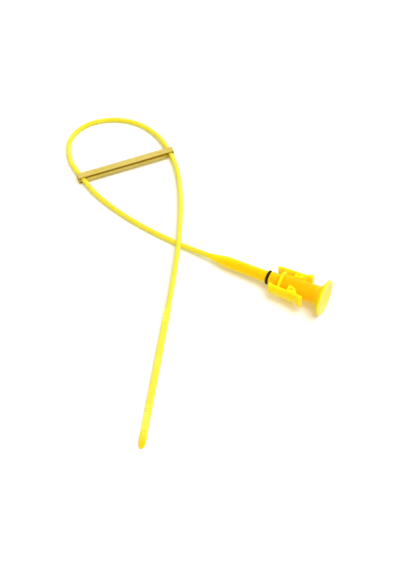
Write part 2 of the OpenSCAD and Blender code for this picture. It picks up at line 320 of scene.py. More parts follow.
# %% Extrude a plan that stands upright on the handle
def upright(plan, height):
    """A plan of (across, along) points, pulled up and centred on the axis."""
    shape = bmesh.new()
    corners = [shape.verts.new((-height / 2, across, along)) for across, along in plan]
    floor_face = shape.faces.new(corners)
    pulled = bmesh.ops.extrude_face_region(shape, geom=[floor_face], use_keep_orig=True)["geom"]
    moved = [v for v in pulled if isinstance(v, bmesh.types.BMVert)]
    bmesh.ops.translate(shape, vec=(height, 0, 0), verts=moved)
    bmesh.ops.recalc_face_normals(shape, faces=shape.faces)
    return shape


# %% [markdown]
# The hook at an arm's front end grips the bead of the guide tube. The rib carries the arm on
# the stem. It is wedge shaped, and a pocket in each of its ends keeps the wall even, because a
# thick lump of plastic sinks in as it cools. Both keep one outline over their whole height,
# so each is a plan that is pulled upright. The pockets are carved out of the rib.

# %% Hook and rib
HOOK_IN = 0.9
HOOK_LEN = 2.4
HOOK_ROOT = 0.2
RIB_FROM = ARM_REAR + 5.1
RIB_LEN = 7.6
RIB_H = 12.8
RIB_INNER = 3.0
RIB_ROOT = 0.3
RIB_EDGE_T = 0.8
RIB_IN_STEM = 1.4
POCKET_DEEP, POCKET_WIDE, POCKET_LONG = 2.0, 2.4, 3.2
POCKET_IN_ARM = 0.1
POCKET_WALL = 1


def hook():
    """The hook that reaches in at the arm's front end."""
    slope_in, slope_back = 0.3 * HOOK_IN, 0.4 * HOOK_LEN
    plan = [(HOOK_ROOT, ARM_LEN), (-slope_in, ARM_LEN), (-HOOK_IN, ARM_LEN - slope_back),
            (-HOOK_IN, ARM_LEN - HOOK_LEN), (HOOK_ROOT, ARM_LEN - HOOK_LEN)]
    return upright(plan, ARM_H)


def rib():
    """The wedge-shaped rib with a pocket in its top and its bottom."""
    spread = ARM_SPREAD * (ARM_REAR + ARM_LEN - RIB_FROM) / ARM_LEN
    outer = ARM_OFFSET + spread + RIB_ROOT
    front = RIB_FROM + RIB_LEN
    plan = [(outer, RIB_FROM), (outer - RIB_EDGE_T, RIB_FROM),
            (STEM_R - RIB_IN_STEM, RIB_FROM + 0.25 * RIB_LEN), (RIB_INNER, front), (outer, front)]
    wedge = upright(plan, RIB_H)
    pocket_across = ARM_OFFSET - POCKET_WIDE / 2 + POCKET_IN_ARM
    pocket_along = front - POCKET_LONG / 2 - POCKET_WALL
    for side in (-1, 1):
        centre = (side * RIB_H / 2, pocket_across, pocket_along)
        wedge = carve(wedge, box(centre, (2 * POCKET_DEEP, POCKET_WIDE, POCKET_LONG)))
    return wedge


arm = join([arm_wall(), hook()])
bmesh.ops.transform(arm, matrix=arm_place, verts=arm.verts)
near_side = join([arm, rib()])
bmesh.ops.recalc_face_normals(near_side, faces=near_side.faces)
far_side = near_side.copy()
bmesh.ops.scale(far_side, vec=(1, -1, 1), verts=far_side.verts)
bmesh.ops.reverse_faces(far_side, faces=far_side.faces)
print("faces of one arm with its rib:", len(near_side.faces))

# %% [markdown]
# ## One moulding
# The real handle is a single moulding: no joint shows where a rib meets the stem, and every
# edge is slightly soft. Boolean unions would leave knife-sharp inner corners. So the parts are
# laid into one mesh and remeshed with small voxels, which fuses them, and the result is
# smoothed a few times. That gives each inner corner its small fillet.

# %% Fuse and soften the handle
VOXEL = 0.285
SMOOTH_ROUNDS = 5

rough = make_object("rough_handle", join([spine, collar, near_side, far_side]))
fuse = rough.modifiers.new("fuse", "REMESH")
fuse.mode = "VOXEL"
fuse.voxel_size = VOXEL
soften = rough.modifiers.new("soften", "SMOOTH")
soften.factor = 0.5
soften.iterations = SMOOTH_ROUNDS
moulding = applied(rough)
bmesh.ops.transform(moulding, matrix=handle_place, verts=moulding.verts)
handle = make_object("handle", moulding, sharp_angle=60)
print("handle triangles:", triangle_count(handle))

# %% [markdown]
# ## The rod's route
# The rod leaves the plug's nose, curls round on the table, passes through both cross holes of
# the brass tube and crosses over itself. Its route is the CAD model's own: places on the table
# with the height of the rod's underside, joined by a smooth curve. The points are few, and
# each is named for the stretch of rod that it belongs to. A curve object could hold them, but
# here the same sum as in the CAD model joins them, so that both rods lie in one place. The
# visible rod is a hair thinner than the CAD model's, so that its finer curve stays inside the
# other's box.

# %% Radius of the rod and the tube's place
ROD_END_R = 1.85
HAIR = 0.01
TUBE_R = 4.0
TUBE_LEN = 80.4
HOLE_D = 6.1
END_LAND = 0.3
HOLE_LEAD = 1.5
TUBE_AT = Vector((-195.25, 49.89, 0))
TUBE_HEADING = 48.8
hole_reach = (TUBE_LEN - 2 * END_LAND - HOLE_D) / 2


def rod_radius(share):
    """The rod's radius at a share of its way from the plug to the blade."""
    return ROD_ROOT_R + (ROD_END_R - ROD_ROOT_R) * share


def lifted(run, share):
    """Places with underside heights, as points on the rod's centre line."""
    return [Vector((x, y, under + rod_radius(share))) for x, y, under in run]


def hole_pass(side, press, way):
    """Two points that lead the rod through a cross hole of the tube."""
    centre = TUBE_AT + side * (hole_reach + press) * heading(TUBE_HEADING)
    reach = TUBE_R + HOLE_LEAD
    return [centre + step * reach * heading(way) + Vector((0, 0, TUBE_R)) for step in (-1, 1)]


# %% Points of the route
ROD_SUNK = 3
LEAD = 9
LEFT_SLANT, RIGHT_SLANT = 13, 2.5
RIGHT_PRESS = 0.75
CROSS_GAP = 0.4
lower_run = [(-126, 0.9, 0.8), (-141, 1.8, 0.5), (-156, 3.3, 0.4), (-171, 5.6, 0.4),
             (-185, 8.6, 0.7), (-198, 12.3, 1.1), (-207.5, 16, 1.5)]
loop_run = [(-236, 32.4, 1.4), (-244, 41, 1), (-249, 50, 0.6), (-250.6, 59, 0.3),
            (-249.2, 68, 0.2), (-246, 75.4, 0.1), (-241, 81.6, 0), (-229.4, 90, 0),
            (-215, 94.6, 0), (-206, 94.8, 0.2), (-197.6, 93.3, 0.6), (-188, 90, 1.1)]
upper_run = [(-159.6, 68.4, 2.2), (-151.7, 58.6, 2.7), (-142.8, 45.3, 3.3), (-133.8, 29.1, 3.9),
             (-126, 13.1, 4.4)]
after_crossing = [(-112.7, -17.9, 4.7), (-106.7, -33.5, 4.5)]
shoulder_place = (-99.3, -54.5, 3.4)
cross_height = lower_run[0][2] + 2 * ROD_ROOT_R + CROSS_GAP + rod_radius(0.85)
crossing = Vector((-120.2, 0.5, cross_height))

# The number beside a run is its share of the rod's way, which sets how thick the rod is there.
route = [on_axis(NOSE_END - ROD_SUNK), on_axis(NOSE_END + LEAD)]
route += lifted(lower_run, 0.15)
route += hole_pass(-1, 0, TUBE_HEADING + 90 + LEFT_SLANT)
route += lifted(loop_run, 0.45)
route += hole_pass(1, RIGHT_PRESS, TUBE_HEADING - 90 + RIGHT_SLANT)
route += lifted(upper_run, 0.8) + [crossing]
route += lifted(after_crossing, 0.95)
route += lifted([shoulder_place], 1)
print("route points:", len(route))


# %% Smooth curve through the points
def slope(points, i):
    """The curve's direction at a point, weighted by the distances to its neighbours."""
    before = points[max(i - 1, 0)]
    here = points[i]
    after = points[min(i + 1, len(points) - 1)]
    if i == 0 or i == len(points) - 1:
        return (after - before).normalized()
    back = (here - before).length
    ahead = (after - here).length
    return ((here - before) / back * ahead + (after - here) / ahead * back) / (back + ahead)


def cubic(a, b, slope_a, slope_b, t):
    """A point between a and b on the cubic that has the two end slopes."""
    span = (b - a).length
    bend = (t ** 3 - 2 * t ** 2 + t) * span * slope_a + (t ** 3 - t ** 2) * span * slope_b
    return (2 * t ** 3 - 3 * t ** 2 + 1) * a + (3 * t ** 2 - 2 * t ** 3) * b + bend


# %% Points close together along the curve
RING_STEP = 1.6
curve = []
for i in range(len(route) - 1):
    a, b = route[i], route[i + 1]
    count = max(1, math.ceil((b - a).length / RING_STEP))
    curve += [cubic(a, b, slope(route, i), slope(route, i + 1), k / count) for k in range(count)]
curve.append(route[-1])
curve_at = [0]
for before, here in zip(curve, curve[1:]):
    curve_at.append(curve_at[-1] + (here - before).length)
print("rod length:", round(curve_at[-1]), "mm in", len(curve), "rings")

# %% [markdown]
# ## The blade
# The round rod flattens into a blade that is wiped and read. A line across it is the upper
# mark, two lines are the lower mark, and below them a bare, thinner stretch ends in a thick
# rounded tip. A flat bar with cuts in it would need blending into the round rod. Instead,
# sections along the blade give its width, its thickness and how square it is, and one skin
# runs through them all: 1 is a round section and less is a flat one with round edges.

# %% Sections along the blade
BLADE_LEN = 111.97
BLADE_W = 4.8
BLADE_LOW_W = 5.0
BLADE_T = 2.0
BARE_T = 1.6
BARE_FROM = 87.0
BARE_TO = 97.0
TIP_FROM = 98.0
TIP_W = 5.3
TIP_T = 2.4
UPPER_MARK = 10.0
LOWER_MARKS = (82.6, 84.5)
MARK_DEPTH = 0.3
SHOULDER_LEN = 3.5
TIP_LIFT = 0.1
ROUND, BOXY, NEAR_TIP, AT_TIP = 1, 0.5, 0.6, 0.75
BLADE_HEADING = -70.9
shoulder = route[-1]
blade_pitch = math.asin((shoulder.z - TIP_T / 2 - TIP_LIFT) / BLADE_LEN)
blade_way = math.cos(blade_pitch) * heading(BLADE_HEADING) - Vector((0, 0, math.sin(blade_pitch)))
print("the blade drops by", round(math.degrees(blade_pitch), 2), "degrees")


# %% Lines across the blade and the rounded tip
def mark_groove(at, width):
    """Sections that dip into the blade and out again, as (step, share of the depth)."""
    dips = [(-0.4, 0), (-0.25, 0.75), (-0.1, 1), (0.1, 1), (0.25, 0.75), (0.4, 0)]
    return [(at + step, width, BLADE_T - 2 * MARK_DEPTH * deep, BOXY) for step, deep in dips]


def tip_section(turn):
    """A section of the rounded tip, by the angle of its roundness in degrees."""
    cosine = math.cos(math.radians(turn))
    at = BLADE_LEN - TIP_W * 1.1 * (1 - math.sin(math.radians(turn)))
    return (at, TIP_W * cosine, TIP_T * (0.25 + 0.75 * cosine), AT_TIP)


TIP_TURNS = (0, 15, 30, 45, 58, 68, 76, 82, 86)
sections = [(0, 2 * ROD_END_R, 2 * ROD_END_R, ROUND), (SHOULDER_LEN, BLADE_W, BLADE_T, BOXY)]
sections += mark_groove(UPPER_MARK, BLADE_W)
for mark_at in LOWER_MARKS:
    sections += mark_groove(mark_at, BLADE_LOW_W)
sections += [(BARE_FROM, BLADE_LOW_W, BARE_T, BOXY), (BARE_TO, BLADE_LOW_W, BARE_T, BOXY),
             (TIP_FROM, (BLADE_LOW_W + TIP_W) / 2, TIP_T, NEAR_TIP)]
sections += [tip_section(turn) for turn in TIP_TURNS]
print("blade sections:", len(sections))


# %% Fill in between far sections
SHORT_STRETCH = 4
SHORT_STRETCH_RINGS = 4


def eased(share):
    """A share from 0 to 1 that starts and ends gently."""
    return share * share * (3 - 2 * share)


blade_rings = [sections[0]]
for before, here in zip(sections, sections[1:]):
    count = max(1, math.ceil((here[0] - before[0]) / RING_STEP))
    if here[0] - before[0] < SHORT_STRETCH:
        count = max(count, SHORT_STRETCH_RINGS)
    for k in range(1, count + 1):
        share = k / count
        at = before[0] + (here[0] - before[0]) * share
        blade_rings.append((at,) + tuple(p + (q - p) * eased(share)
                                         for p, q in zip(before[1:], here[1:])))
print("blade rings:", len(blade_rings))

# %% [markdown]
# The rod and its blade are made as a moulder would think of them: one ring that travels along
# the route and leaves a skin behind it. The ring is extruded step by step, and each new ring
# is set to the section of its station. Every point keeps its turn about the ring, so a round
# ring can become a flat one without a twist. A bevelled curve would be quicker to make, but
# its section can't change from round to flat.

# %% Rings that the skin runs through
SIDES = 28
stations = []
for i, centre in enumerate(curve):
    if i == 0:
        way = curve[1] - curve[0]
    elif i == len(curve) - 1:
        way = blade_way.copy()
    else:
        way = curve[i + 1] - curve[i - 1]
    girth = 2 * (rod_radius(curve_at[i] / curve_at[-1]) - HAIR)
    stations.append((centre, way.normalized(), girth, girth, ROUND))
for at, width, thick, square in blade_rings[1:]:
    stations.append((shoulder + at * blade_way, blade_way, width, thick, square))


def ring_point(station, turn):
    """The point of a station's ring at a turn about it."""
    centre, way, width, thick, square = station
    across = Vector((0, 0, 1)).cross(way).normalized()
    up = way.cross(across)
    cosine, sine = math.cos(turn), math.sin(turn)
    side = math.copysign(abs(cosine) ** square, cosine) * width / 2
    rise = math.copysign(abs(sine) ** square, sine) * thick / 2
    return to_part(centre + across * side + up * rise)


# %% Extrude the ring along the route
rod = bmesh.new()
turn_of = rod.verts.layers.float.new("turn")
thickness_of = rod.verts.layers.float.new("thickness")
bmesh.ops.create_circle(rod, cap_ends=True, radius=1, segments=SIDES)
for point in rod.verts:
    point[turn_of] = math.atan2(point.co.y, point.co.x)
    point[thickness_of] = stations[0][3]
    point.co = ring_point(stations[0], point[turn_of])
ring = rod.edges[:]
for station in stations[1:]:
    pulled = bmesh.ops.extrude_edge_only(rod, edges=ring)["geom"]
    ring = [e for e in pulled if isinstance(e, bmesh.types.BMEdge)]
    for point in {v for e in ring for v in e.verts}:
        point[thickness_of] = station[3]
        point.co = ring_point(station, point[turn_of])
bmesh.ops.edgeloop_fill(rod, edges=ring)
rod.verts.layers.float.remove(turn_of)
rod_and_blade = make_object("rod_and_blade", rod, sharp_angle=60)
print("rod and blade triangles:", triangle_count(rod_and_blade))

# %% [markdown]
# ## The seal ring
# The ring is moulded rubber. It sits in its groove and stands proud of the neck and the shank.
# A ready-made torus would do for a plain one. Real rings keep a fine flash line where the two
# halves of the mould met, round the outside, so here a circle whose outermost point stands
# out a little is spun about the handle's axis.

# %% Spin the seal ring
RING_T = 2.2
RING_PATH_R = 4.4
FLASH = 0.04
SEAL_SIDES = 28

seal_centre = (RING_PATH_R, (NECK_END + GROOVE_END) / 2)
seal_outline = arc(seal_centre, RING_T / 2 - FLASH, 0, 360, SEAL_SIDES)[:-1]
seal = bmesh.new()
seal_points = [seal.verts.new((radius, 0, height)) for radius, height in seal_outline]
seal_points[0].co.x += FLASH
seal_edges = [seal.edges.new(pair) for pair in zip(seal_points, seal_points[1:] + seal_points[:1])]
bmesh.ops.spin(seal, geom=seal_points + seal_edges, axis=(0, 0, 1), cent=(0, 0, 0),
               angle=2 * math.pi, steps=120, use_merge=True)
bmesh.ops.remove_doubles(seal, verts=seal.verts, dist=WELD)
bmesh.ops.transform(seal, matrix=handle_place, verts=seal.verts)
seal_ring = make_object("seal_ring", seal)
print("seal ring triangles:", triangle_count(seal_ring))

# %% [markdown]
# ## The brass tube
# The tube is cut from thin drawn brass and drilled across near each end. A long rectangle spun
# about an axis gives its wall. Its corners are cut off narrowly, as a file breaks the sharp
# edges of a real tube's ends: a cylinder made thick by Solidify would have no such corners.
# A round cutter drills the holes, as on the real tube.

# %% Spin the tube's wall
TUBE_WALL = 0.6
TUBE_RINGS = 80
TUBE_SIDES = 96
BREAK_EDGE = 0.07

inner = TUBE_R - TUBE_WALL
half = TUBE_LEN / 2
reach = half - BREAK_EDGE
rise = [reach * (2 * k / TUBE_RINGS - 1) for k in range(TUBE_RINGS + 1)]
outside = [(TUBE_R - BREAK_EDGE, -half)] + [(TUBE_R, height) for height in rise]
inside = [(inner + BREAK_EDGE, half)] + [(inner, height) for height in reversed(rise)]
wall_outline = outside + [(TUBE_R - BREAK_EDGE, half)] + inside + [(inner + BREAK_EDGE, -half)]
tube = bmesh.new()
wall_points = [tube.verts.new((radius, 0, height)) for radius, height in wall_outline]
wall_edges = [tube.edges.new(pair) for pair in zip(wall_points, wall_points[1:] + wall_points[:1])]
bmesh.ops.spin(tube, geom=wall_points + wall_edges, axis=(0, 0, 1), cent=(0, 0, 0),
               angle=2 * math.pi, steps=TUBE_SIDES, use_merge=True)
bmesh.ops.remove_doubles(tube, verts=tube.verts, dist=WELD)
bmesh.ops.recalc_face_normals(tube, faces=tube.faces)
print("tube wall faces:", len(tube.faces))

# %% Drill the cross holes and lay the tube down
for side in (-1, 1):
    drill = bmesh.new()
    bmesh.ops.create_cone(drill, cap_ends=True, segments=TUBE_SIDES, radius1=HOLE_D / 2,
                          radius2=HOLE_D / 2, depth=4 * TUBE_R)
    crosswise = Matrix.Rotation(math.pi / 2, 4, "X")
    lay_drill = Matrix.Translation((0, 0, side * hole_reach)) @ crosswise
    bmesh.ops.transform(drill, matrix=lay_drill, verts=drill.verts)
    tube = carve(tube, drill)
bmesh.ops.dissolve_degenerate(tube, dist=5 * WELD, edges=tube.edges)
tube_turn = Euler((0, math.pi / 2, math.radians(TUBE_HEADING))).to_matrix().to_4x4()
tube_centre = to_part(TUBE_AT + Vector((0, 0, TUBE_R)))
tube_place = Matrix.Translation(tube_centre) @ tube_turn @ Matrix.Scale(MM, 4)
bmesh.ops.transform(tube, matrix=tube_place, verts=tube.verts)
loop_tube = make_object("brass_loop_tube", tube, sharp_angle=30)
print("tube triangles:", triangle_count(loop_tube))

# %% [markdown]
# ## Pieces join the frame
# The handle and the rod stand for the CAD node of the yellow moulding. The ring and the tube
# stand for their own nodes. All of them ride on the one body, because nothing on the part
# turns or slides.

# %% Ride the body and hide the CAD nodes that the pieces replace
for piece, node, finish in ((handle, "dipstick", "yellow_plastic"),
                            (rod_and_blade, "dipstick", "yellow_plastic"),
                            (seal_ring, "o_ring", "black_rubber"),
                            (loop_tube, "loop_tube", "brass")):
    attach(piece, "root")
    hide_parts(node)
    print(piece.name, "stands for", node)

# %% [markdown]
# ## Small tools for materials
# A material is a tree of nodes. These helpers add a node with its values and join two sockets,
# so each material below reads as a list of steps.


# %% Add and join nodes
def add_node(tree, kind, **settings):
    """A new node with its own settings, such as an operation."""
    node = tree.nodes.new(kind)
    for name, value in settings.items():
        setattr(node, name, value)
    return node


def feed(tree, node, inputs):
    """Gives a node's inputs a number, a colour or another node's output."""
    for name, value in inputs.items():
        if isinstance(value, bpy.types.NodeSocket):
            tree.links.new(value, node.inputs[name])
        else:
            node.inputs[name].default_value = value
    return node


def maths(tree, operation, *values):
    """A Math node's output."""
    node = feed(tree, add_node(tree, "ShaderNodeMath", operation=operation),
                dict(enumerate(values)))
    return node.outputs[0]


def remap(tree, value, low, high, to_low, to_high):
    """A value moved from one range to another, kept inside it."""
    node = feed(tree, add_node(tree, "ShaderNodeMapRange"), {
        "Value": value, "From Min": low, "From Max": high, "To Min": to_low, "To Max": to_high})
    return node.outputs["Result"]


def blend_colour(tree, share, first, second):
    """A colour between two colours."""
    node = add_node(tree, "ShaderNodeMix", data_type="RGBA")
    feed(tree, node, {0: share, 6: first, 7: second})
    return node.outputs[2]


def new_material(name):
    """A material with its Principled BSDF, and the tree that they are in."""
    material = bpy.data.materials.new(name)
    material.use_nodes = True
    tree = material.node_tree
    return material, tree, tree.nodes["Principled BSDF"]


# %% [markdown]
# ## Shared effects
# Two effects are used by more than one finish. Each could be copied into every material, but
# a node group is built once and takes its own values in each. `fine_grain` is the faint
# orange-peel of a moulded or drawn surface: a height for a Bump node. `handling_marks` is the
# slow, cloudy change that fingers and dust leave: a number about 0.5 that shifts a colour or a
# roughness.


# %% Node group for fine grain
def start_group(name, inputs, outputs):
    """A node group with named inputs and outputs."""
    group = bpy.data.node_groups.new(name, "ShaderNodeTree")
    for socket_name, kind in inputs:
        group.interface.new_socket(socket_name, in_out="INPUT", socket_type=kind)
    for socket_name, kind in outputs:
        group.interface.new_socket(socket_name, in_out="OUTPUT", socket_type=kind)
    return group, group.nodes.new("NodeGroupInput"), group.nodes.new("NodeGroupOutput")


VECTOR, NUMBER = "NodeSocketVector", "NodeSocketFloat"
fine_grain, given, result = start_group(
    "fine_grain", [("Vector", VECTOR), ("Scale", NUMBER)], [("Height", NUMBER)])
grain = add_node(fine_grain, "ShaderNodeTexNoise")
feed(fine_grain, grain, {"Vector": given.outputs["Vector"], "Scale": given.outputs["Scale"],
                         "Detail": 3.0, "Roughness": 0.6})
fine_grain.links.new(grain.outputs[0], result.inputs["Height"])

# %% Node group for handling marks
handling_marks, given, result = start_group(
    "handling_marks", [("Vector", VECTOR), ("Scale", NUMBER), ("Contrast", NUMBER)],
    [("Value", NUMBER)])
cloud = add_node(handling_marks, "ShaderNodeTexNoise")
feed(handling_marks, cloud, {"Vector": given.outputs["Vector"], "Scale": given.outputs["Scale"],
                             "Detail": 4.0, "Distortion": 0.4})
away = maths(handling_marks, "SUBTRACT", cloud.outputs[0], 0.5)
scaled = maths(handling_marks, "MULTIPLY", away, given.outputs["Contrast"])
handling_marks.links.new(maths(handling_marks, "ADD", scaled, 0.5), result.inputs["Value"])
print("node groups:", [g.name for g in (fine_grain, handling_marks)])


# %% Place a group in a material
def use_group(tree, group, **inputs):
    """The first output of a node group that is placed in a material."""
    node = add_node(tree, "ShaderNodeGroup", node_tree=group)
    return feed(tree, node, inputs).outputs[0]


# %% [markdown]
# ## Yellow plastic
# The moulding is a satin nylon with a strong yellow pigment. Light enters it, so its shadows
# are soft and golden, and it looks lemon yellow where it is thin and orange where it is thick.
# One flat yellow would look painted. So its colour is blended between three tones, from thin to
# thick. The blend also holds painted shade and sheen: golden where a face is seen head-on, pale
# lemon at edges seen at a slant. A little subsurface light is added, and a painted glow, an
# emission that lifts the shaded parts. The mould's grain is a very small bump. The blade has a
# cross-hatched grip for the oil film between its marks, with a smooth oval in the middle, and
# painted shade darkens its marks. Cutting the hatching out of the mesh would cost many faces for
# a depth of 0.1 mm, so it is a pattern, laid on along the blade by a Mapping node that is turned
# to the blade's direction and centred on its shoulder.


# %% Places on the blade
def blade_places(tree, coordinates):
    """Millimetres along the blade from its shoulder, and across it."""
    place = add_node(tree, "ShaderNodeMapping", vector_type="TEXTURE")
    place.inputs["Location"].default_value = to_part(shoulder)
    place.inputs["Rotation"].default_value = (0, blade_pitch, math.radians(BLADE_HEADING))
    place.inputs["Scale"].default_value = (MM, MM, MM)
    tree.links.new(coordinates, place.inputs["Vector"])
    split = add_node(tree, "ShaderNodeSeparateXYZ")
    tree.links.new(place.outputs["Vector"], split.inputs[0])
    return split.outputs["X"], split.outputs["Y"]


def root_of_squares(tree, first, second):
    """The long side of a right triangle with two sides."""
    squares = [maths(tree, "POWER", side, 2.0) for side in (first, second)]
    return maths(tree, "SQRT", maths(tree, "ADD", *squares))


def oval(tree, along, across, centre, long_way, wide_way):
    """The distance from an oval's centre on the blade, 1 at its edge."""
    first = maths(tree, "DIVIDE", maths(tree, "SUBTRACT", along, centre), long_way / 2)
    second = maths(tree, "DIVIDE", across, wide_way / 2)
    return root_of_squares(tree, first, second)


LINE_HALF = 0.3


def thin_line(tree, along, at):
    """1 on a line across the blade and 0 away from it."""
    off = maths(tree, "ABSOLUTE", maths(tree, "SUBTRACT", along, at))
    return remap(tree, off, LINE_HALF, 2 * LINE_HALF, 1.0, 0.0)


# %% Hatching between the marks
HATCH_PITCH = 1.5
HATCH_LEAN = 1.2
HATCH_FROM = 13.4
HATCH_TO = 80.0
HATCH_FADE = 0.4
RIDGE_W = 0.4
BORDER_IN = 0.5
OVAL_AT = 46.0
OVAL_LEN = 8.5
OVAL_W = 2.6
OVAL_EDGE = (0.9, 1.05)


def blade_hatch(tree, coordinates):
    """Height of the hatching, 1 on a ridge and 0 elsewhere."""
    along, across = blade_places(tree, coordinates)
    ridge = thin_line(tree, along, HATCH_FROM + BORDER_IN)
    for lean in ("ADD", "SUBTRACT"):
        diagonal = maths(tree, lean, along, maths(tree, "MULTIPLY", across, HATCH_LEAN))
        swing = maths(tree, "PINGPONG", diagonal, HATCH_PITCH / 2)
        ridge = maths(tree, "MAXIMUM", ridge, remap(tree, swing, 0.0, RIDGE_W, 1.0, 0.0))
    begun = remap(tree, along, HATCH_FROM, HATCH_FROM + HATCH_FADE, 0.0, 1.0)
    not_ended = remap(tree, along, HATCH_TO - HATCH_FADE, HATCH_TO, 1.0, 0.0)
    smooth_oval = oval(tree, along, across, OVAL_AT, OVAL_LEN, OVAL_W)
    outside_oval = remap(tree, smooth_oval, *OVAL_EDGE, 0.0, 1.0)
    inside = maths(tree, "MULTIPLY", maths(tree, "MULTIPLY", begun, not_ended), outside_oval)
    return maths(tree, "MULTIPLY", ridge, inside)


# %% Painted shade in the marks, and a line round the tip
TIP_LINE = 0.8
TIP_LINE_EDGE = (0.05, 0.2)
TIP_LINE_SHARE = 0.8


def mark_shade_and_tip_line(tree, coordinates):
    """1 in the blade's marks, as painted shade in their grooves, and on a line round its tip; 0
    elsewhere.
    """
    along, across = blade_places(tree, coordinates)
    tip_middle = (TIP_FROM + BLADE_LEN) / 2
    round_tip = oval(tree, along, across, tip_middle, BLADE_LEN - TIP_FROM, TIP_W)
    off_line = maths(tree, "ABSOLUTE", maths(tree, "SUBTRACT", round_tip, TIP_LINE))
    lines = remap(tree, off_line, *TIP_LINE_EDGE, TIP_LINE_SHARE, 0.0)
    for mark_at in (UPPER_MARK,) + LOWER_MARKS:
        lines = maths(tree, "ADD", lines, thin_line(tree, along, mark_at))
    return lines


# %% [markdown]
# How golden a point is could be painted by hand, but the rule is simple: thick plastic is
# golden. On the handle it follows the distance from the disc's face and from the axis. A colour
# ramp holds its values along the handle, and the arms, which stand off the axis, are thin. The
# stem's gold is partly painted shade, for the shade between the arms, and a painted sheen makes
# the disc's face paler. The insides of the arms get a painted glow for the light that the stem
# throws back. On the rod and the blade it follows the thickness that was kept on every point.

# %% How golden the handle is
# The stem's gold is partly painted shade: thick plastic is golden, and it also stands in for the
# shade between the arms.
GOLD_ALONG = ((4, 0.45), (11, 1.0), (STEM_END, 0.85), (GROOVE_END, 0.5), (SHANK_END, 0.35))
RAMP_LEN = 100.0
FACE_GOLD = 0.3
NOSE_GOLD = 0.05
# Painted sheen: how much paler the disc's face and rim are made.
FACE_PAINTED_SHEEN = 0.9
RIM_DEPTH = (0.6, 2.4)
CONE_DEPTH = (7.0, 10.0)
OFF_STEM = (STEM_R + 0.1, ARM_OFFSET)
ARM_DEPTH = (9.5, 11.0)
# Painted glow: emission on the insides of the arms, for light thrown back by the stem.
ARM_PAINTED_GLOW = 0.18


def grey(level):
    """A grey for a stop of a colour ramp."""
    return (level, level, level, 1)


def handle_places(tree, coordinates):
    """Millimetres along the handle from the disc's face, across it and off its axis."""
    place = add_node(tree, "ShaderNodeMapping", vector_type="TEXTURE")
    place.inputs["Location"].default_value = handle_place.to_translation()
    place.inputs["Rotation"].default_value = handle_turn.to_euler()
    place.inputs["Scale"].default_value = (MM, MM, MM)
    tree.links.new(coordinates, place.inputs["Vector"])
    split = add_node(tree, "ShaderNodeSeparateXYZ")
    tree.links.new(place.outputs["Vector"], split.inputs[0])
    off_axis = root_of_squares(tree, split.outputs["X"], split.outputs["Y"])
    return split.outputs["Z"], split.outputs["Y"], off_axis


def golden_handle(tree, coordinates):
    """How golden the handle is, 0 at its thin parts and 1 at the stem, partly as painted shade,
    and its painted glow.
    """
    along, across, off_axis = handle_places(tree, coordinates)
    ramp = add_node(tree, "ShaderNodeValToRGB")
    tree.links.new(maths(tree, "DIVIDE", along, RAMP_LEN), ramp.inputs[0])
    stops = ramp.color_ramp.elements
    for station, gold in GOLD_ALONG:
        stops.new(station / RAMP_LEN).color = grey(gold)
    stops[0].color = grey(FACE_GOLD)
    stops[-1].color = grey(NOSE_GOLD)
    stops[-1].position = NOSE_END / RAMP_LEN
    past_disc = remap(tree, along, *CONE_DEPTH, 0.0, 1.0)
    past_stem = remap(tree, off_axis, *OFF_STEM, 0.0, 1.0)
    thin = maths(tree, "MULTIPLY", past_disc, past_stem)
    gold = maths(tree, "MULTIPLY", ramp.outputs[0], maths(tree, "SUBTRACT", 1.0, thin))
    # Painted sheen: the disc's face and rim are made paler.
    gold = maths(tree, "SUBTRACT", gold, remap(tree, along, *RIM_DEPTH, FACE_PAINTED_SHEEN, 0.0))
    # Painted glow on the arms where they face the stem.
    painted_glow_in_arms = remap(tree, maths(tree, "ABSOLUTE", across), *ARM_DEPTH, ARM_PAINTED_GLOW, 0.0)
    return gold, maths(tree, "MULTIPLY", thin, painted_glow_in_arms)


# %% How golden the rod is
ROOT_GOLD = 0.25
TIP_GOLD = 1.9
TIP_GOLD_FROM = 2


def golden_rod(tree, coordinates):
    """How golden the rod is, from its thickness, with a golden tip and no painted glow."""
    thickness = add_node(tree, "ShaderNodeAttribute", attribute_name="thickness").outputs["Fac"]
    flat = remap(tree, thickness, BARE_T, 2 * ROD_END_R, -1.0, 0.0)
    root = remap(tree, thickness, 2 * ROD_END_R, 2 * ROD_ROOT_R, 0.0, ROOT_GOLD)
    along, _ = blade_places(tree, coordinates)
    tip = remap(tree, along, TIP_FROM + TIP_GOLD_FROM, BLADE_LEN, 0.0, TIP_GOLD)
    return maths(tree, "ADD", maths(tree, "ADD", flat, root), tip), 0.0


# %% Yellow plastic in three tones
HANDLE_TONES = ((0.90, 0.71, 0.11, 1), (0.96, 0.70, 0.004, 1), (0.97, 0.45, 0.0, 1))
ROD_TONES = ((0.79, 0.77, 0.10, 1), (0.76, 0.665, 0.052, 1), (0.80, 0.52, 0.006, 1))
BLACK = (0, 0, 0, 1)
WARM_SHEEN = (1.0, 0.85, 0.35, 1)
# Painted glow: an emission in the plastic's own colour that lifts its shaded parts.
PAINTED_INNER_GLOW = 0.12
# Painted shade and sheen: where this slant starts, faces seen head-on turn golden and edges pale.
PAINTED_SHEEN_FROM = 0.3
GRAIN_HEIGHT = 0.006
RIDGE_HEIGHT = 0.12
RIDGE_TINT = 0.55
MARK_SHADE = 0.5


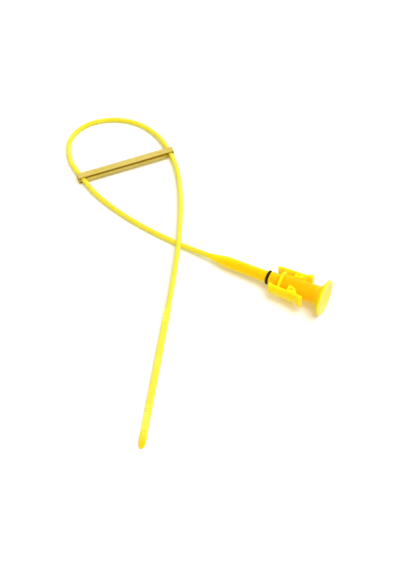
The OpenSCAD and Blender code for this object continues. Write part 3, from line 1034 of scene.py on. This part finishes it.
def yellow_plastic(name, golden, tones, hatched):
    """The moulding's plastic in its three tones, with or without the blade's pattern."""
    thin_tone, middle_tone, thick_tone = tones
    material, tree, plastic = new_material(name)
    coordinates = add_node(tree, "ShaderNodeTexCoord").outputs["Object"]
    marks = use_group(tree, handling_marks, Vector=coordinates, Scale=60.0, Contrast=0.3)
    painted_sheen_slant = add_node(tree, "ShaderNodeLayerWeight").outputs["Facing"]
    gold, painted_extra_glow = golden(tree, coordinates)
    share = maths(tree, "ADD", gold, maths(tree, "SUBTRACT", marks, 0.5))
    # Painted shade and sheen: faces seen head-on go golden, edges seen at a slant go pale lemon.
    share = maths(tree, "SUBTRACT", share, maths(tree, "SUBTRACT", painted_sheen_slant, PAINTED_SHEEN_FROM))
    colour = blend_colour(tree, share, middle_tone, thick_tone)
    colour = blend_colour(tree, maths(tree, "MULTIPLY", share, -1.0), colour, thin_tone)
    roughness = remap(tree, marks, 0.3, 0.7, 0.34, 0.46)
    skin = use_group(tree, fine_grain, Vector=coordinates, Scale=1400.0)
    height = maths(tree, "MULTIPLY", GRAIN_HEIGHT, skin)
    if hatched:
        ridge = blade_hatch(tree, coordinates)
        height = maths(tree, "ADD", height, maths(tree, "MULTIPLY", ridge, RIDGE_HEIGHT))
        # The hatching's ridges are tinted, and painted shade darkens the marks' grooves.
        ridge_tint_and_mark_shade = maths(tree, "MAXIMUM", maths(tree, "MULTIPLY", ridge, RIDGE_TINT),
                     maths(tree, "MULTIPLY", mark_shade_and_tip_line(tree, coordinates), MARK_SHADE))
        colour = blend_colour(tree, ridge_tint_and_mark_shade, colour, thick_tone)
    bump = feed(tree, add_node(tree, "ShaderNodeBump"), {
        "Height": height, "Distance": MM, "Strength": 1.0})
    # Painted glow: the plastic emits its own colour, more on the insides of the arms.
    painted_glow = maths(tree, "ADD", PAINTED_INNER_GLOW, painted_extra_glow)
    feed(tree, plastic, {"Base Color": colour, "Roughness": roughness,
                         "Normal": bump.outputs["Normal"], "IOR": 1.5,
                         "Subsurface Weight": 0.8, "Subsurface Scale": 0.004,
                         "Specular IOR Level": 0.22, "Specular Tint": WARM_SHEEN,
                         "Emission Color": blend_colour(tree, painted_glow, BLACK, colour),
                         "Emission Strength": 1.0})
    plastic.inputs["Subsurface Radius"].default_value = (1.0, 0.85, 0.1)
    return material


# %% Handle and rod in the plastic
handle_plastic = yellow_plastic("yellow_handle_plastic", golden_handle, HANDLE_TONES, False)
rod_plastic = yellow_plastic("yellow_rod_plastic", golden_rod, ROD_TONES, True)
handle.data.materials.append(handle_plastic)
rod_and_blade.data.materials.append(rod_plastic)
print(handle_plastic.name, "is on", handle.name)
print(rod_plastic.name, "is on", rod_and_blade.name)

# %% [markdown]
# ## Black rubber
# The seal is soft nitrile rubber with a film of dust in its pores. One flat black would look
# like a hole in the picture. So it is nearly black with a warm cast and cloudy patches, dull,
# and with the same grain as the plastic, only finer and higher.

# %% Rubber
DEEP_BLACK = (0.010, 0.004, 0.002, 1)
DUSTY_BLACK = (0.025, 0.012, 0.006, 1)
PORE_HEIGHT = 0.012

material, tree, rubber = new_material("nitrile_rubber")
coordinates = add_node(tree, "ShaderNodeTexCoord").outputs["Object"]
marks = use_group(tree, handling_marks, Vector=coordinates, Scale=700.0, Contrast=1.2)
pores = use_group(tree, fine_grain, Vector=coordinates, Scale=2600.0)
bump = feed(tree, add_node(tree, "ShaderNodeBump"), {
    "Height": maths(tree, "MULTIPLY", pores, PORE_HEIGHT), "Distance": MM, "Strength": 1.0})
feed(tree, rubber, {
    "Base Color": blend_colour(tree, marks, DEEP_BLACK, DUSTY_BLACK),
    "Roughness": remap(tree, marks, 0.2, 0.8, 0.3, 0.45),
    "Normal": bump.outputs["Normal"], "Specular IOR Level": 0.3,
    "Specular Tint": (1.0, 0.65, 0.25, 1)})
seal_ring.data.materials.append(material)
print(material.name, "is on", seal_ring.name)

# %% [markdown]
# ## Brass
# Drawn brass has fine lines along the tube from the die, and handling dulls it in soft patches.
# The lines could be an image, but noise that is stretched along the tube needs none and never
# repeats. A Mapping node turns the pattern to the tube's heading, so the lines run along it.

# %% Brass
CLEAN_BRASS = (0.94, 0.76, 0.22, 1)
DULL_BRASS = (0.74, 0.53, 0.08, 1)
LINE_STRETCH = (0.06, 0.001, 0.001)
LINE_HEIGHT = 0.03
LINE_CONTRAST = 0.35

material, tree, brass = new_material("drawn_brass")
coordinates = add_node(tree, "ShaderNodeTexCoord").outputs["Object"]
along_tube = add_node(tree, "ShaderNodeMapping", vector_type="TEXTURE")
along_tube.inputs["Location"].default_value = tube_centre
along_tube.inputs["Rotation"].default_value = (0, 0, math.radians(TUBE_HEADING))
along_tube.inputs["Scale"].default_value = LINE_STRETCH
tree.links.new(coordinates, along_tube.inputs["Vector"])
lines = use_group(tree, fine_grain, Vector=along_tube.outputs["Vector"], Scale=1.5)
marks = use_group(tree, handling_marks, Vector=coordinates, Scale=120.0, Contrast=1.0)
bump = feed(tree, add_node(tree, "ShaderNodeBump"), {
    "Height": maths(tree, "MULTIPLY", lines, LINE_HEIGHT), "Distance": MM, "Strength": 0.6})
streaks = remap(tree, lines, 0.35, 0.65, -LINE_CONTRAST, LINE_CONTRAST)
feed(tree, brass, {
    "Base Color": blend_colour(tree, maths(tree, "ADD", streaks, marks), CLEAN_BRASS, DULL_BRASS),
    "Roughness": remap(tree, marks, 0.2, 0.8, 0.15, 0.26),
    "Normal": bump.outputs["Normal"], "Metallic": 1.0})
loop_tube.data.materials.append(material)
print(material.name, "is on", loop_tube.name)

# %% [markdown]
# ## Table and light
# The photograph is a bright studio shot: a white table, a wide soft light that stands high on
# the thumb disc's side, and pale walls. An area lamp near the part would be brighter on one end
# of the long rod, so a wide sun gives the soft light at one level all over the table, and the
# world fills the shadows, a little more from the walls than from above. Brass shows what stands
# round it: it mirrors a grey table and a brown dark side of the room, which nothing else shows.
# To the camera the table has a warm lift. That keeps it white where it is open, and makes the
# part's soft shadows golden, as light that has come through yellow plastic does.

# %% Table
FLOOR_HALF = 60.0
FLOOR_COLOUR = (0.74, 0.79, 0.92, 1)
FLOOR_MIRRORED = (0.60, 0.60, 0.60, 1)
FLOOR_LIFT = (0.30, 0.22, 0.0, 1)
FLOOR_DROP = 0.05

table = bmesh.new()
bmesh.ops.create_grid(table, x_segments=1, y_segments=1, size=FLOOR_HALF)
bmesh.ops.translate(table, vec=(0, 0, -FLOOR_DROP * MM), verts=table.verts)
floor = make_object("floor", table)
material, tree, paint = new_material("white_table")
path = add_node(tree, "ShaderNodeLightPath")
seen = maths(tree, "MAXIMUM", path.outputs["Is Camera Ray"], path.outputs["Is Transmission Ray"])
feed(tree, paint, {
    "Base Color": blend_colour(tree, path.outputs["Is Glossy Ray"], FLOOR_COLOUR, FLOOR_MIRRORED),
    "Emission Color": FLOOR_LIFT, "Emission Strength": seen,
    "Roughness": 0.9, "Specular IOR Level": 0.0})
floor.data.materials.append(material)
print("the table lies", FLOOR_DROP, "mm under the part")

# %% Sun
SUN_LEVEL = 2.8
SUN_SPREAD = 44
SUN_ELEVATION = 72
SUN_HEADING = 10

sun = bpy.data.objects.new("soft_window", bpy.data.lights.new("soft_window", "SUN"))
sun.data.energy = SUN_LEVEL
sun.data.angle = math.radians(SUN_SPREAD)
sun_way = math.cos(math.radians(SUN_ELEVATION)) * heading(SUN_HEADING)
sun_way.z = math.sin(math.radians(SUN_ELEVATION))
sun.rotation_euler = sun_way.to_track_quat("Z", "Y").to_euler()
sun.visible_glossy = False
scene.collection.objects.link(sun)
print("the sun comes from", sun_way[:])

# %% World
FILL_LEVEL = 0.45
WALL_LEVEL = 0.75
WHITE = (1, 1, 1, 1)
DARK_SIDE = (0.80, -0.42, 0.43)
DARK_SIDE_EDGE = (0.89, 0.94)
DARK_SIDE_COLOUR = (0.30, 0.22, 0.04, 1)

world = bpy.data.worlds.new("pale_studio")
world.use_nodes = True
tree = world.node_tree
direction = add_node(tree, "ShaderNodeTexCoord").outputs["Generated"]
toward = feed(tree, add_node(tree, "ShaderNodeVectorMath", operation="DOT_PRODUCT"), {
    0: direction, 1: DARK_SIDE})
split = add_node(tree, "ShaderNodeSeparateXYZ")
tree.links.new(direction, split.inputs[0])
fill = remap(tree, split.outputs["Z"], 0.0, 0.5, WALL_LEVEL, FILL_LEVEL)
dark_side = remap(tree, toward.outputs["Value"], *DARK_SIDE_EDGE, 0.0, 1.0)
path = add_node(tree, "ShaderNodeLightPath")
mirrored = path.outputs["Is Glossy Ray"]
level = remap(tree, mirrored, 0.0, 1.0, fill, 1.0)
brown_share = maths(tree, "MULTIPLY", mirrored, dark_side)
colour = blend_colour(tree, brown_share, WHITE, DARK_SIDE_COLOUR)
seen = maths(tree, "MAXIMUM", path.outputs["Is Camera Ray"], path.outputs["Is Transmission Ray"])
feed(tree, tree.nodes["Background"], {
    "Color": colour, "Strength": remap(tree, seen, 0.0, 1.0, level, 1.0)})
scene.world = world
print("the world is", world.name)

# %% [markdown]
# ## The camera
# The camera stands as the photograph's did. Its place was worked out from the picture: the
# ellipse of the thumb disc gives the elevation, and the way the handle points gives the turn. A
# longer lens from farther away would show the loop too large beside the blade, so the lens is
# the one at which the near blade and the far loop both have the photograph's sizes.

# %% Camera
CAMERA_ELEVATION = 56
CAMERA_AZIMUTH = 27.58
CAMERA_AT = (103.906, -393.602, 618.832)
LENS = 63.158
FILM_WIDTH = 36

camera = bpy.data.objects.new("camera", bpy.data.cameras.new("camera"))
camera.data.sensor_width = FILM_WIDTH
camera.data.lens = LENS
camera.data.clip_start = 0.01
camera.location = to_part(CAMERA_AT)
camera.rotation_euler = (math.radians(90 - CAMERA_ELEVATION), 0, math.radians(CAMERA_AZIMUTH))
scene.collection.objects.link(camera)
scene.camera = camera
print("camera at", camera.location[:])
